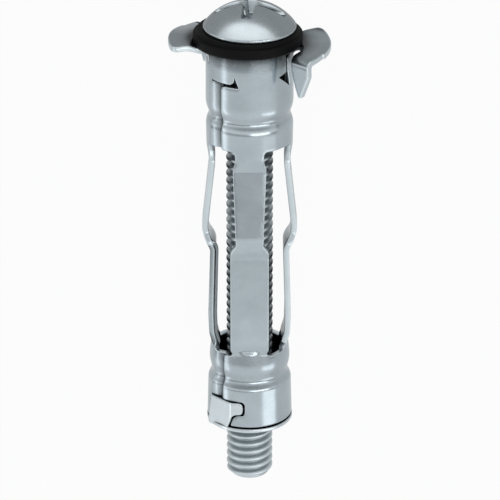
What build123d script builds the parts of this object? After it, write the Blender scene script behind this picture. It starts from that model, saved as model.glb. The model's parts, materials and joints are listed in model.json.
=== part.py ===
from build123d import *
from math import asin, atan2, cos, degrees, hypot, pi, radians, sin, tan
import os

os.makedirs("parts", exist_ok=True)

# Hollow wall anchor for thin board, with its M4 screw. All sizes are in millimetres.
# The pieces are modelled upright: the axis is Z, the collar's upper face is z = 0, the head
# is above it and the tail below. A bearing is an angle round the axis, counted from the
# front (-Y) towards the right (+X). At the end the finished anchor is laid on its back.

# Sleeve: one blank of sheet steel, rolled to a tube, with its ears and teeth folded out
sheet = 0.50
tube_radius = 3.58           # outside of the tube under the collar
mouth_radius = 3.46          # the tube's open mouth, drawn in a little
mouth_gap = 0.08             # between the tube's mouth and the washer
neck_length = 1.30           # mouth to full width
shoulder_length = 3.84       # the straight stretch that carries the seam tab
waist_radius = 3.33
waist_drop = 0.66            # shoulder to the bottom of the waist groove
waist_rise = 0.84            # waist groove back out to full width
band_length = 1.66           # waist to the tops of the slots
root_radius = 3.56           # outside of a leg where it leaves the band
root_length = 1.67           # band to the fold where the leg turns flat
fold_radius = 3.32           # from here to the heel: distance of the flat leg from the axis
thigh_length = 6.34          # fold to knee
knee_radius = 4.00
knee_blend = 2.2             # inside radius of the rounded knee
kink_length = 1.41           # knee to the inward kink
kink_radius = 3.27
shin_rise_length = 5.80      # kink to the lower leg's outermost point
shin_radius = 3.44
shin_fall_length = 1.85      # from there to the ankle
ankle_radius = 3.37
joggle_length = 0.90         # ankle to the bottom of the inward joggle
joggle_radius = 3.13
heel_length = 0.37           # joggle back out to the heel, where the sheet is round again
heel_radius = 3.26
tail_band_radius = 3.38
tail_band_length = 1.43
tail_waist_radius = 3.18
tail_waist_drop = 1.03
tail_waist_rise = 0.77
tail_top_radius = 3.48
tail_radius = 3.56           # outside at the open end
tail_length = 3.35

# Slots between the four legs
leg_count = 4
leg_neck_width = 2.43
leg_neck_length = 0.70
leg_top_width = 2.74         # where the leg turns flat
knee_width = 2.25
shin_width = 3.17
shin_shoulder_rise = 1.25    # the lower leg starts to widen this far above the kink
shin_shoulder_length = 0.85
heel_overrun = 0.26          # the slot ends this far below the heel
slot_corner = 0.42

# Seam of the rolled blank, with the flap that tucks inside
seam_bearing = -42.5
seam_gap = 0.14
flap_angle = 12.0            # arc of sheet between its fold and the seam
flap_tuck = 0.36             # how far the free edge lies inside the tube's outside

# Tab that bridges the seam at the mouth
tab_depth = 2.50             # collar face to the tab's lower edge
tab_end_bearing = -20.6
tab_start_bearing = -60.0
tab_slit = 0.12
tab_gap = 0.24               # between the tab and the seam's right-hand corner
tab_pocket_bearing = -14.6   # far corner of the three-sided pocket at the tab's end
tab_pocket_height = 0.90

# Ears and teeth, each with the window that it was cut from
ear_radius = 6.62
ear_back_azimuth = 29.0
ear_bend = 0.45              # inside radius of the fold from tube to ear
root_front_azimuth = -5.0
ear_corner = 0.38
ear_lance_radius = 4.55      # inner edge of the ear in front of its root
tooth_azimuth = -45.5
tooth_bend = 0.25            # inside radius of the fold from ear to tooth
tooth_inner = 4.75
tooth_shoulder = 1.40        # the tooth narrows to its tip from this far down
tooth_length = 3.35
tooth_tip = 5.68             # distance of the tip from the axis
tooth_tip_width = 0.28
tooth_tip_corner = 0.08
window_lip_azimuth = -33.0   # front edge of the window in the thickness of the lip
window_front_azimuth = -48.0 # tip of the slit that runs on from the window's lower corner
window_depth_lip = 1.86
window_depth_front = 2.10
window_depth_back = 3.55
ear_turns = (0, 172)         # the left ear sits a little round from opposite the right one

# Nut: a threaded body inside the tail, with a flange and a locking lug turned up from it
nut_clearance = 0.12         # between the nut's body and the tail
flange_thickness = 0.36
flange_overhang = 0.05       # past the tail's outside
flange_gap = 0.15            # between the tail's end and the flange
nut_seat_gap = 0.12          # between the nut's body and the tail's upper shoulder
flap_clearance = 0.12        # between the nut's flat and the tucked flap
lug_bearing = -45.0          # the lug is a flat plate facing this way
lug_distance = 3.50          # from the axis to its outer face
lug_thickness = 0.42
lug_height = 2.70
lug_left = -1.15             # its left side, counted across the plate from the middle
lug_foot = 0.69              # its right side at the foot, which slants out to the hook
lug_right = 1.40
lug_hook = 1.80              # end of the hook
lug_hook_depth = 1.25        # height of the hooked end
lug_corner = 0.28
lug_throat_corner = 0.60     # rounding where the slanted side meets the hook
lug_gap = 0.10               # round the lug in the sleeve's pocket
lug_hook_gap = 0.48          # past the end of the hook

# Washer under the head
washer_radius = 4.48
washer_thickness = 1.22
washer_hole_clearance = 0.20
washer_step = 0.30           # height and depth of the step round its upper edge
washer_bevel = 0.20

# Screw, M4
thread_radius = 1.94
thread_clearance = 0.05      # between the thread's crests and the nut's bore
tip_projection = 5.30        # thread that shows below the nut
tip_chamfer = 0.45
head_radius = 3.80
head_rim = 0.26
head_dome = 1.95
recess_width = 4.66          # across the wings of the cross recess
recess_wing = 1.00
recess_depth = 1.55
recess_draft = 9.0
slot_width = 0.80
slot_depth = 1.10            # below the top of the dome
driver_angle = -7.0          # turn of the recess about the axis

# Levels down the axis, worked out from the stretches above
neck_z = -mouth_gap - neck_length
shoulder_z = neck_z - shoulder_length
waist_z = shoulder_z - waist_drop
band_z = waist_z - waist_rise
slot_top_z = band_z - band_length
fold_z = slot_top_z - root_length
knee_z = fold_z - thigh_length
kink_z = knee_z - kink_length
shin_z = kink_z - shin_rise_length
ankle_z = shin_z - shin_fall_length
joggle_z = ankle_z - joggle_length
heel_z = joggle_z - heel_length
slot_end_z = heel_z - heel_overrun
tail_band_z = heel_z - tail_band_length
tail_waist_z = tail_band_z - tail_waist_drop
tail_top_z = tail_waist_z - tail_waist_rise
tail_end_z = tail_top_z - tail_length
flange_top_z = tail_end_z - flange_gap
flange_end_z = flange_top_z - flange_thickness
tip_z = flange_end_z - tip_projection
outermost = max(tube_radius, knee_radius, tail_radius)
inner_cutter_plane = 0.52 * outermost    # cutters run between these two distances
outer_cutter_plane = 1.04 * outermost
washer_shift = washer_hole_clearance - thread_clearance    # it hangs to the left of the shank
lug_corners = [lug_corner] * 4 + [lug_throat_corner, lug_corner]
seam_gap_angle = degrees(seam_gap / 2 / tube_radius)


def azimuth(bearing):
    return bearing - 90


def at_angle(radius, angle, height=0):
    return Vector(radius * cos(radians(angle)), radius * sin(radians(angle)), height)


def sector(start, end, top, bottom, reach=2 * outermost):
    # A wedge of the space round the axis between two azimuths
    arc = CenterArc((0, 0), reach, start, end - start)
    face = make_face([arc, Line((0, 0), arc @ 0), Line((0, 0), arc @ 1)])
    return Pos(0, 0, bottom) * extrude(face, top - bottom)


def sheet_section(corners, blends):
    # Section of the sheet. The inner line runs parallel to the outer one, a sheet thickness
    # inside it. The blend of a fold is the radius on its hollow side; 0 leaves it crisp.
    headings = []
    for here, there in zip(corners, corners[1:]):
        headings.append(atan2(there[1] - here[1], there[0] - here[0]))
    inner_corners = []
    outer_blends = []
    inner_blends = []
    for place, (radius, height) in enumerate(corners):
        before = headings[max(place - 1, 0)]
        after = headings[min(place, len(headings) - 1)]
        turn = (after - before + pi) % (2 * pi) - pi
        middle = before + turn / 2
        mitre = sheet / cos(turn / 2)
        inner_corners.append((radius + mitre * sin(middle), height - mitre * cos(middle)))
        if 0 < place < len(corners) - 1:
            hollow_inside = turn < 0
            blend = blends[place - 1]
            wide_blend = blend + sheet if blend else 0
            outer_blends.append(wide_blend if hollow_inside else blend)
            inner_blends.append(blend if hollow_inside else wide_blend)
    outer = FilletPolyline(*corners, radius=outer_blends)
    inner = FilletPolyline(*inner_corners, radius=inner_blends)
    ends = [Line(corners[0], inner_corners[0]), Line(corners[-1], inner_corners[-1])]
    return make_face([*outer.edges(), *inner.edges(), *ends])


def wall_section():
    # The sheet's section along the tube, with every groove, knee and joggle
    stations = [
        (mouth_radius, -mouth_gap),
        (tube_radius, neck_z),
        (tube_radius, shoulder_z),
        (waist_radius, waist_z),
        (tube_radius, band_z),
        (root_radius, slot_top_z),
        (fold_radius, fold_z),
        (knee_radius, knee_z),
        (kink_radius, kink_z),
        (shin_radius, shin_z),
        (ankle_radius, ankle_z),
        (joggle_radius, joggle_z),
        (heel_radius, heel_z),
        (tail_band_radius, tail_band_z),
        (tail_waist_radius, tail_waist_z),
        (tail_top_radius, tail_top_z),
        (tail_radius, tail_end_z),
    ]
    blends = [0] * (len(stations) - 2)
    blends[stations.index((knee_radius, knee_z)) - 1] = knee_blend
    return Plane.XZ * sheet_section(stations, blends)


def radial_cutter(outline, middle, corners=None):
    # A cutter whose sides lie in planes through the axis, so that cut edges stay square to
    # the rolled sheet. The outline is drawn as (bearing, height) points, each with a corner
    # radius if corners are given.
    faces = []
    for distance in (inner_cutter_plane, outer_cutter_plane):
        plane = Plane(
            origin=at_angle(distance, azimuth(middle)),
            x_dir=at_angle(1, azimuth(middle + 90)),
            z_dir=at_angle(1, azimuth(middle)),
        )
        points = [(distance * tan(radians(bearing - middle)), height) for bearing, height in outline]
        if corners:
            radii = [corner * distance / outermost for corner in corners]
            line = FilletPolyline(*points, radius=radii, close=True)
        else:
            line = Polyline(*points, close=True)
        faces.append(plane * make_face(line))
    return loft(faces, ruled=True)


def slot_cutter(middle):
    # Clears everything between two legs; the flat legs are put back afterwards
    quadrant = 360 / leg_count / 2
    leg_neck_z = slot_top_z - leg_neck_length
    leg_widths = [
        (leg_neck_width, slot_top_z),
        (leg_neck_width, leg_neck_z),
        (leg_top_width, fold_z),
        (shin_width, fold_z - root_length),
        (shin_width, slot_end_z),
    ]
    right = []
    for width, height in leg_widths:
        right.append((middle + quadrant - degrees(asin(width / 2 / tube_radius)), height))
    left = [(2 * middle - bearing, height) for bearing, height in reversed(right)]
    outline = right + left
    return radial_cutter(outline, middle, [slot_corner] * len(outline))


def make_leg(section, bearing):
    # A leg below its fold: the sheet's section carried straight across, so that the leg is
    # flat from side to side, then trimmed to the leg's outline
    shoulder_top_z = kink_z + shin_shoulder_rise
    shoulder_end_z = shoulder_top_z - shin_shoulder_length
    half_outline = [
        (leg_top_width / 2, fold_z),
        (knee_width / 2, shoulder_top_z),
        (shin_width / 2, shoulder_end_z),
        (shin_width / 2, heel_z),
    ]
    outline = half_outline + [(-across, height) for across, height in reversed(half_outline)]
    trim = Plane.YZ * make_face(Polyline(*outline, close=True))
    panel = extrude(section, shin_width, both=True)
    leg = panel & extrude(trim, 2 * outermost)
    return leg.rotate(Axis.Z, azimuth(bearing))


def tucked_flap(section, top, bottom):
    # The blank's left edge beside the seam: the same section, carried straight on from its
    # fold line and inwards, so that the free edge lies under the right-hand edge
    fold_azimuth = azimuth(seam_bearing - flap_angle)
    run = tube_radius * radians(flap_angle) - seam_gap / 2
    drop = flap_tuck + run**2 / (2 * tube_radius)
    onward = at_angle(1, fold_azimuth + 90)
    inward = at_angle(-1, fold_azimuth)
    path = onward * run + inward * drop
    flap = extrude(section.rotate(Axis.Z, fold_azimuth), path.length, dir=path)
    height = top - bottom
    return flap & Pos(0, 0, (top + bottom) / 2) * Box(4 * outermost, 4 * outermost, height)


def lug_outline(grow=0, hook_grow=0):
    # The lug as seen from outside, as (across, height) points: upright on the left, hooked
    # to the right at its top, the side under the hook slanting back to a narrower foot
    top = flange_end_z + lug_height + grow
    hook_under = flange_end_z + lug_height - lug_hook_depth - grow
    foot = flange_end_z - grow
    return [
        (lug_left - grow, foot),
        (lug_left - grow, top),
        (lug_hook + hook_grow, top),
        (lug_hook + hook_grow, hook_under),
        (lug_right + grow, hook_under),
        (lug_foot + grow, foot),
    ]


def lug_pocket():
    # The lug's outline at its inner face, grown and cut through the tail's wall
    inner_distance = lug_distance - lug_thickness
    outline = []
    for across, height in lug_outline(lug_gap, lug_hook_gap):
        outline.append((lug_bearing + degrees(atan2(across, inner_distance)), height))
    return radial_cutter(outline, lug_bearing, lug_corners)


def make_lug():
    # The lug turned up from the nut's flange as a flat plate
    plane = Plane(
        origin=at_angle(lug_distance, azimuth(lug_bearing)),
        x_dir=at_angle(1, azimuth(lug_bearing + 90)),
        z_dir=at_angle(1, azimuth(lug_bearing)),
    )
    outline = FilletPolyline(*lug_outline(), radius=lug_corners, close=True)
    return extrude(plane * make_face(outline), -lug_thickness)


def make_sleeve():
    section = wall_section()
    tube = revolve(section, Axis.Z)
    for leg in range(leg_count):
        tube -= slot_cutter((leg + 0.5) * 360 / leg_count)
    pocket_top = flange_end_z + lug_height + lug_gap
    upper_flap = tucked_flap(section, -tab_depth - tab_slit, slot_top_z)
    lower_flap = tucked_flap(section, slot_end_z, pocket_top)
    flats = Pos(0, 0, (fold_z + heel_z) / 2) * Cylinder(2 * outermost, fold_z - heel_z)
    tube -= flats
    for leg in range(leg_count):
        tube += make_leg(section, leg * 360 / leg_count)
    seam_start = azimuth(seam_bearing - flap_angle)
    seam_end = azimuth(seam_bearing) + seam_gap_angle
    tube -= sector(seam_start, seam_end, -tab_depth - tab_slit, slot_top_z)
    tube -= sector(seam_start, seam_end, slot_end_z, pocket_top)
    tube = tube + upper_flap + lower_flap
    tab_opening = [
        (tab_start_bearing, -tab_depth),
        (tab_start_bearing, -tab_depth - tab_slit),
        (seam_bearing, -tab_depth - tab_slit),
        (seam_bearing, -tab_depth - tab_gap),
        (tab_pocket_bearing, -tab_depth - tab_gap),
        (tab_end_bearing, -tab_depth - tab_gap + tab_pocket_height),
        (tab_end_bearing, -tab_depth),
    ]
    tube -= radial_cutter(tab_opening, (tab_start_bearing + tab_pocket_bearing) / 2)
    tube -= lug_pocket()
    for turn in ear_turns:
        tube -= window_cutter().rotate(Axis.Z, turn)
        tube -= sector(root_front_azimuth, ear_back_azimuth, 1, neck_z).rotate(Axis.Z, turn)
        tube += make_ear().rotate(Axis.Z, turn)
    return tube


def window_cutter():
    # The opening in the tube's wall under the ear's tooth. Its lower edge slopes, and runs on
    # in front of the window as a slit.
    lip = window_lip_azimuth + 90
    front = window_front_azimuth + 90
    back = root_front_azimuth + 90
    above = sheet
    outline = [
        (lip, above),
        (lip, -window_depth_lip),
        (front, -window_depth_front),
        (back, -window_depth_back),
        (back, above),
    ]
    return radial_cutter(outline, (front + back) / 2)


def make_ear():
    # Root: the tube's wall folded outwards over a quarter turn
    root_section = sheet_section(
        [(ear_radius, -sheet), (tube_radius, -sheet), (tube_radius, neck_z)],
        [ear_bend],
    )
    root = revolve(Plane.XZ * root_section, Axis.Z, ear_back_azimuth - root_front_azimuth)
    root = root.rotate(Axis.Z, root_front_azimuth)
    corner = root.edges().filter_by(Axis.Z).sort_by(Axis.Y)[-1]
    root = fillet(corner, ear_corner)
    # Blade: the flat stretch in front of the root, free of the tube
    fold_start = tooth_azimuth + degrees(asin((tooth_bend + sheet) / ear_lance_radius))
    blade = sector(fold_start, root_front_azimuth, 0, -sheet, ear_radius)
    blade -= Cylinder(ear_lance_radius, 4 * sheet)
    return root + blade + make_tooth(fold_start)


def make_tooth(fold_start):
    # Tooth: the blade's end folded straight down, cut to a point
    overlap = ear_radius * sin(radians(fold_start - tooth_azimuth)) + sheet
    section = sheet_section([(-overlap, 0), (0, 0), (0, -tooth_length)], [tooth_bend])
    fold_plane = Plane(origin=(0, 0, 0), x_dir=(0, -1, 0), z_dir=(-1, 0, 0))
    tooth = extrude(fold_plane * section, -ear_radius)
    outline = FilletPolyline(
        (tooth_inner, sheet),
        (tooth_inner, -tooth_shoulder),
        (tooth_tip - tooth_tip_width / 2, -tooth_length),
        (tooth_tip + tooth_tip_width / 2, -tooth_length),
        (ear_radius, -tooth_shoulder),
        (ear_radius, sheet),
        radius=tooth_tip_corner,
        close=True,
    )
    tooth &= extrude(Plane.XZ * make_face(outline), 2 * ear_radius, both=True)
    tooth &= Cylinder(ear_radius, 4 * tooth_length)
    return tooth.rotate(Axis.Z, tooth_azimuth)


def make_nut():
    bore_radius = thread_radius + thread_clearance
    body_radius = tail_top_radius - sheet - nut_clearance
    body_top = tail_top_z - sheet / 2 - nut_seat_gap
    flange_radius = tail_radius + flange_overhang
    body = Pos(0, 0, flange_end_z) * extrude(Circle(body_radius), body_top - flange_end_z)
    # Flat that leaves room for the tucked flap and keeps the nut from turning in the tail
    flat_distance = tail_top_radius - flap_tuck - sheet - flap_clearance
    beyond_flat = Pos(flat_distance + tail_radius, 0, (body_top + flange_top_z) / 2)
    beyond_flat *= Box(2 * tail_radius, 4 * tail_radius, body_top - flange_top_z)
    body -= beyond_flat.rotate(Axis.Z, azimuth(seam_bearing))
    flange = Pos(0, 0, flange_end_z) * extrude(Circle(flange_radius), flange_thickness)
    nut = body + flange + make_lug()
    nut -= Pos(0, 0, flange_end_z) * extrude(Circle(bore_radius), body_top - flange_end_z)
    return nut


def make_washer():
    # Soft ring with a stepped upper edge and a bevelled outer one
    hole_radius = thread_radius + washer_hole_clearance
    step_radius = washer_radius - washer_step
    step_height = washer_thickness - washer_step
    outline = Polyline(
        (hole_radius, 0),
        (washer_radius - washer_bevel, 0),
        (washer_radius, washer_bevel),
        (washer_radius, step_height - washer_bevel),
        (washer_radius - washer_bevel, step_height),
        (step_radius, step_height),
        (step_radius, washer_thickness),
        (hole_radius, washer_thickness),
        close=True,
    )
    return Pos(-washer_shift, 0, 0) * revolve(Plane.XZ * make_face(outline), Axis.Z)


def make_screw():
    seat = washer_thickness
    head_top = seat + head_rim + head_dome
    # Head: a narrow vertical rim and a domed crown in one turned outline
    crown_start = seat + head_rim
    crown_radius = (head_radius**2 + head_dome**2) / (2 * head_dome)
    outline = make_face(
        [
            Line((0, seat), (head_radius, seat)),
            Line((head_radius, seat), (head_radius, crown_start)),
            RadiusArc((head_radius, crown_start), (0, head_top), -crown_radius),
            Line((0, head_top), (0, seat)),
        ]
    )
    head = revolve(Plane.XZ * outline, Axis.Z)
    recess = Rectangle(recess_width, recess_wing) + Rectangle(recess_wing, recess_width)
    turned = Pos(0, 0, head_top) * Rot(0, 0, driver_angle)
    head -= turned * extrude(recess, -recess_depth, taper=recess_draft)
    slot_reach = 2.2 * head_radius
    head -= turned * Box(slot_reach, slot_width, 2 * slot_depth)
    shank = Pos(0, 0, tip_z) * extrude(Circle(thread_radius), seat - tip_z)
    tip = shank.edges().filter_by(GeomType.CIRCLE).sort_by(Axis.Z)[0]
    return head + chamfer(tip, tip_chamfer)


def lay_down():
    # The anchor lies on its back, on the washer's rim, the nut's flange and the rounded back
    # corner of the right ear. The roll brings that corner down to the washer's level.
    corner_distance = ear_radius - ear_corner
    corner_azimuth = ear_back_azimuth - degrees(asin(ear_corner / corner_distance))
    across = corner_distance * cos(radians(corner_azimuth)) + washer_shift
    down = corner_distance * sin(radians(corner_azimuth))
    reach = hypot(across, down)
    roll = degrees(asin((washer_radius - ear_corner) / reach) - atan2(down, across))
    # The tilt follows from the two radii that touch, over the length between them
    washer_depth = washer_radius - washer_shift * sin(radians(roll))
    flange_radius = tail_radius + flange_overhang
    tilt = degrees(atan2(washer_depth - flange_radius, washer_bevel - flange_end_z))
    return Rot(tilt, 0, 0) * Rot(-90, 0, 0) * Rot(0, 0, roll)


placing = lay_down()
pieces = {
    "sleeve": make_sleeve(),
    "nut": make_nut(),
    "washer": make_washer(),
    "screw": make_screw(),
}
laid = {name: placing * piece for name, piece in pieces.items()}
whole = Compound(list(laid.values())).bounding_box()
origin = Pos(-whole.center().X, -whole.center().Y, -whole.min.Z)
for name, piece in laid.items():
    export_step(origin * piece, f"parts/{name}.step")
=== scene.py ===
import json
from math import asin, atan2, ceil, cos, degrees, pi, radians, sin, sqrt, tan

import bpy
import numpy as np
from mathutils import Matrix, Vector
from mathutils.geometry import delaunay_2d_cdt
from mathutils.kdtree import KDTree


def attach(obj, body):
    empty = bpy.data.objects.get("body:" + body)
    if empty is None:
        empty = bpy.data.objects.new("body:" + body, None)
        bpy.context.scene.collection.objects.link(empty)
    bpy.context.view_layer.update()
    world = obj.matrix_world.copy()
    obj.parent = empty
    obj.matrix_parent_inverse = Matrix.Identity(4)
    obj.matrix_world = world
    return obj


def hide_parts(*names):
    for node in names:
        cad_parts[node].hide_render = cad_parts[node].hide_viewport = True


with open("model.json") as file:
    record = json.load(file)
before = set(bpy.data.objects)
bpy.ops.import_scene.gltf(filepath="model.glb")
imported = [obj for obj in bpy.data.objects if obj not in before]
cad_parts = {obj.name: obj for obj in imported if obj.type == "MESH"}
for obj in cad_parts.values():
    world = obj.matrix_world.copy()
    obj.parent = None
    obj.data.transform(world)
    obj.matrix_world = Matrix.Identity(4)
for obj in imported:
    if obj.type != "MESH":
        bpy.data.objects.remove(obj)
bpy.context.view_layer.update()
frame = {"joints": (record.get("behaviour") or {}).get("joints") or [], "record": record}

# The anchor lies on its back in the shared frame. Every piece is drawn upright in millimetres,
# with the axis as z, the collar's upper face at z = 0, the seamed front as -y and the right as
# +x, and its points are then laid down. A bearing counts from the front towards the right.
screwTurn = next(j for j in frame["joints"] if j["name"] == "screw_turn")
wallFace = next(m for m in frame["record"]["mounts"] if m["name"] == "wall_face")
collarCentre = Vector(screwTurn["pos_m"])
towardsHead = Vector(screwTurn["axis"]).normalized()
towardsRight = Vector(wallFace["pos_m"]) - collarCentre
towardsRight = (towardsRight - towardsRight.dot(towardsHead) * towardsHead).normalized()
towardsBack = towardsHead.cross(towardsRight)
laying = np.array([towardsRight, towardsBack, towardsHead])


def laidDown(points):
    return np.asarray(points) @ laying * 0.001 + np.array(collarCentre)


def hexColour(text):
    # sRGB hex to the linear values that shaders take
    values = [int(text[i : i + 2], 16) / 255 for i in (1, 3, 5)]
    linear = [v / 12.92 if v <= 0.04045 else ((v + 0.055) / 1.055) ** 2.4 for v in values]
    return (*linear, 1.0)


def addNode(tree, kind, inputs=None, **settings):
    node = tree.nodes.new(kind)
    for name, value in settings.items():
        setattr(node, name, value)
    for socket, value in (inputs or {}).items():
        if isinstance(value, bpy.types.NodeSocket):
            tree.links.new(value, node.inputs[socket])
        else:
            node.inputs[socket].default_value = value
    return node


def newMaterial(name):
    # The material, its emptied tree, and a vector that counts object space in millimetres
    material = bpy.data.materials.new(name)
    material.use_nodes = True
    tree = material.node_tree
    tree.nodes.clear()
    space = addNode(tree, "ShaderNodeTexCoord").outputs["Object"]
    scaled = addNode(tree, "ShaderNodeVectorMath", {0: space, "Scale": 1000.0}, operation="SCALE")
    return material, tree, scaled.outputs[0]


def platedMetal(name, look):
    # Zinc plate over steel: a bright metal whose crystals scatter light a little, so that it
    # reads as soft grey with clear highlights on the folds
    material, tree, space = newMaterial(name)
    noises = []
    for size, detail in (("mottleSize", 3.0), ("grainSize", 4.0), ("waveSize", 1.0)):
        pattern = {"Vector": space, "Scale": 1.0 / look[size], "Detail": detail, "Roughness": 0.55}
        noises.append(addNode(tree, "ShaderNodeTexNoise", pattern).outputs["Fac"])
    mottle, grain, wave = noises
    tones = {"Factor": mottle, "A": hexColour(look["dark"]), "B": hexColour(look["light"])}
    colour = addNode(tree, "ShaderNodeMix", tones, data_type="RGBA").outputs["Result"]
    # Painted shade: the occlusion darkens the colour in recesses and joints, at the seam and under the
    # washer, in place of the shade that falls there
    reach = {"Distance": look["recessReach"] * 0.001}
    openness = addNode(tree, "ShaderNodeAmbientOcclusion", reach, samples=8).outputs["AO"]
    shading = {"Value": openness, "From Min": look["recessStart"], "From Max": look["recessEnd"]}
    shading["To Min"] = look["paintedShadeDarkest"]
    shade = addNode(tree, "ShaderNodeMapRange", shading).outputs[0]
    colourWithPaintedShade = addNode(tree, "ShaderNodeVectorMath", {0: colour, "Scale": shade}, operation="SCALE")
    # The grain makes the shine uneven; the wave is the sheet's own
    gloss = {"Value": grain, "From Min": 0.3, "From Max": 0.7}
    gloss |= {"To Min": look["roughnessLow"], "To Max": look["roughnessHigh"]}
    roughness = addNode(tree, "ShaderNodeMapRange", gloss).outputs[0]
    waves = {"Height": wave, "Distance": look["waveHeight"] * 0.001}
    waved = addNode(tree, "ShaderNodeBump", waves).outputs[0]
    grains = {"Height": grain, "Distance": look["grainHeight"] * 0.001, "Normal": waved}
    grained = addNode(tree, "ShaderNodeBump", grains).outputs[0]
    plate = {"Base Color": colourWithPaintedShade.outputs[0], "Metallic": 1.0, "Roughness": roughness, "Normal": grained}
    shader = addNode(tree, "ShaderNodeBsdfPrincipled", plate)
    addNode(tree, "ShaderNodeOutputMaterial", {"Surface": shader.outputs[0]})
    return material


sheetLook = {
    "dark": "#A0ABB1",
    "light": "#BAC5CB",
    "mottleSize": 2.4,
    "grainSize": 0.09,
    "roughnessLow": 0.18,
    "roughnessHigh": 0.28,
    "waveSize": 1.7,
    "waveHeight": 0.014,
    "grainHeight": 0.0012,
    # Painted shade in recesses: reach of the occlusion in mm, the openness where the shade starts and ends,
    # and the darkest it paints
    "recessReach": 1.5,
    "recessStart": 0.7,
    "recessEnd": 0.97,
    "paintedShadeDarkest": 0.05,
}
zincPlatedSheet = platedMetal("zinc-plated steel, rolled and folded", sheetLook)
# Sheared edges: the plate builds up there, so they are lighter and blunter; they take less of the painted
# shade
edgeLook = sheetLook | {"dark": "#BEC9CE", "light": "#D8E2E6", "roughnessLow": 0.3, "roughnessHigh": 0.42}
edgeLook |= {"recessStart": 0.1, "paintedShadeDarkest": 0.3}
shearedEdge = platedMetal("zinc-plated steel, sheared edge", edgeLook)
# Cold-headed and thread-rolled steel: lighter than the sheet, with less painted shade in its recesses, so
# that the dome reads as one bright curve
headedLook = sheetLook | {"dark": "#AEB9BE", "light": "#C9D2D6", "mottleSize": 1.6}
headedLook |= {"roughnessLow": 0.2, "roughnessHigh": 0.3, "recessStart": 0.1, "paintedShadeDarkest": 0.45}
zincPlatedHead = platedMetal("zinc-plated steel, cold-headed", headedLook)
# The thread is lighter and rougher still; its lighter tone is painted, to lift the dark bands of the room
# that its flanks reflect
threadLook = headedLook | {"dark": "#BCC7CC", "light": "#D5DEE2", "roughnessLow": 0.4, "roughnessHigh": 0.52}
zincPlatedThread = platedMetal("zinc-plated steel, rolled thread", threadLook)
# The nut is cold-formed, and its thicker plate is lighter than the sheet's
nutLook = sheetLook | {"dark": "#BBC5CA", "light": "#DAE3E7"}
zincPlatedNut = platedMetal("zinc-plated steel, cold-formed nut", nutLook)

# Moulded black rubber: a faint broad sheen over near-black, with a fine matt skin
rubberLook = {
    "colour": "#040405",
    "sheen": 0.12,
    "skinSize": 0.12,
    "skinHeight": 0.004,
    "roughnessLow": 0.48,
    "roughnessHigh": 0.62,
}
blackRubber, tree, space = newMaterial("black rubber, moulded")
pattern = {"Vector": space, "Scale": 1.0 / rubberLook["skinSize"], "Detail": 4.0, "Roughness": 0.55}
skin = addNode(tree, "ShaderNodeTexNoise", pattern).outputs["Fac"]
pits = {"Height": skin, "Distance": rubberLook["skinHeight"] * 0.001}
gloss = {"Value": skin, "From Min": 0.3, "From Max": 0.7}
gloss |= {"To Min": rubberLook["roughnessLow"], "To Max": rubberLook["roughnessHigh"]}
rubber = {"Base Color": hexColour(rubberLook["colour"]), "IOR": 1.5}
rubber["Specular IOR Level"] = rubberLook["sheen"]
rubber["Roughness"] = addNode(tree, "ShaderNodeMapRange", gloss).outputs[0]
rubber["Normal"] = addNode(tree, "ShaderNodeBump", pits).outputs[0]
shader = addNode(tree, "ShaderNodeBsdfPrincipled", rubber)
addNode(tree, "ShaderNodeOutputMaterial", {"Surface": shader.outputs[0]})
print("materials made")


def newPiece(name, points, faces, materials, faceMaterials=None):
    mesh = bpy.data.meshes.new(name)
    mesh.from_pydata(laidDown(points).tolist(), [], faces)
    for material in materials:
        mesh.materials.append(material)
    mesh.polygons.foreach_set("material_index", faceMaterials or [0] * len(faces))
    mesh.polygons.foreach_set("use_smooth", [True] * len(mesh.polygons))
    mesh.validate()
    mesh.update()
    piece = bpy.data.objects.new(name, mesh)
    bpy.context.collection.objects.link(piece)
    return piece


def roundedLoop(corners, spacing):
    # A closed outline through (x, y, radius) corners, with its straight runs divided evenly
    loop = []
    count = len(corners)
    for i, (x, y, radius) in enumerate(corners):
        here = np.array((x, y), float)
        toPrevious = np.array(corners[i - 1][:2], float) - here
        toNext = np.array(corners[(i + 1) % count][:2], float) - here
        reachBack, reachOn = np.linalg.norm(toPrevious), np.linalg.norm(toNext)
        toPrevious, toNext = toPrevious / reachBack, toNext / reachOn
        inside = np.arccos(np.clip(toPrevious @ toNext, -1, 1))
        # A rounding takes less than half of the runs beside it; a straight corner gets none
        cut = min(radius / max(tan(inside / 2), 1e-6), 0.48 * reachBack, 0.48 * reachOn)
        if cut < 1e-4 or inside > pi - 0.02:
            loop.append(here)
            continue
        bend = cut * tan(inside / 2)
        inwards = toPrevious + toNext
        centre = here + inwards / np.linalg.norm(inwards) * bend / sin(inside / 2)
        first, last = here + cut * toPrevious - centre, here + cut * toNext - centre
        steps = max(2, ceil((pi - inside) / radians(15)), ceil((pi - inside) * bend / spacing))
        for step in range(steps + 1):
            share = step / steps
            turn = sin((1 - share) * (pi - inside)) * first + sin(share * (pi - inside)) * last
            loop.append(centre + turn / sin(pi - inside))
    dense = []
    for here, there in zip(loop, loop[1:] + loop[:1]):
        pieces = max(1, ceil(np.linalg.norm(there - here) / spacing))
        dense += [here + (there - here) * step / pieces for step in range(pieces)]
    return np.array(dense)


def orientedLoops(loops):
    # The first loop runs with the material to its left, and so does every hole
    result = []
    for number, loop in enumerate(loops):
        x, y = loop[:, 0], loop[:, 1]
        area = 0.5 * np.sum(x * np.roll(y, -1) - y * np.roll(x, -1))
        result.append(loop if (area > 0) != bool(number) else loop[::-1])
    return result


def loopNormals(loop):
    # Directions away from the material, which lies to the left of the loop; longer at corners
    along = np.roll(loop, -1, 0) - loop
    along /= np.linalg.norm(along, axis=1, keepdims=True)
    sideways = np.column_stack([along[:, 1], -along[:, 0]])
    both = sideways + np.roll(sideways, 1, 0)
    length = np.linalg.norm(both, axis=1, keepdims=True)
    return both / length / np.clip(length / 2, 0.6, 1)


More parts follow.
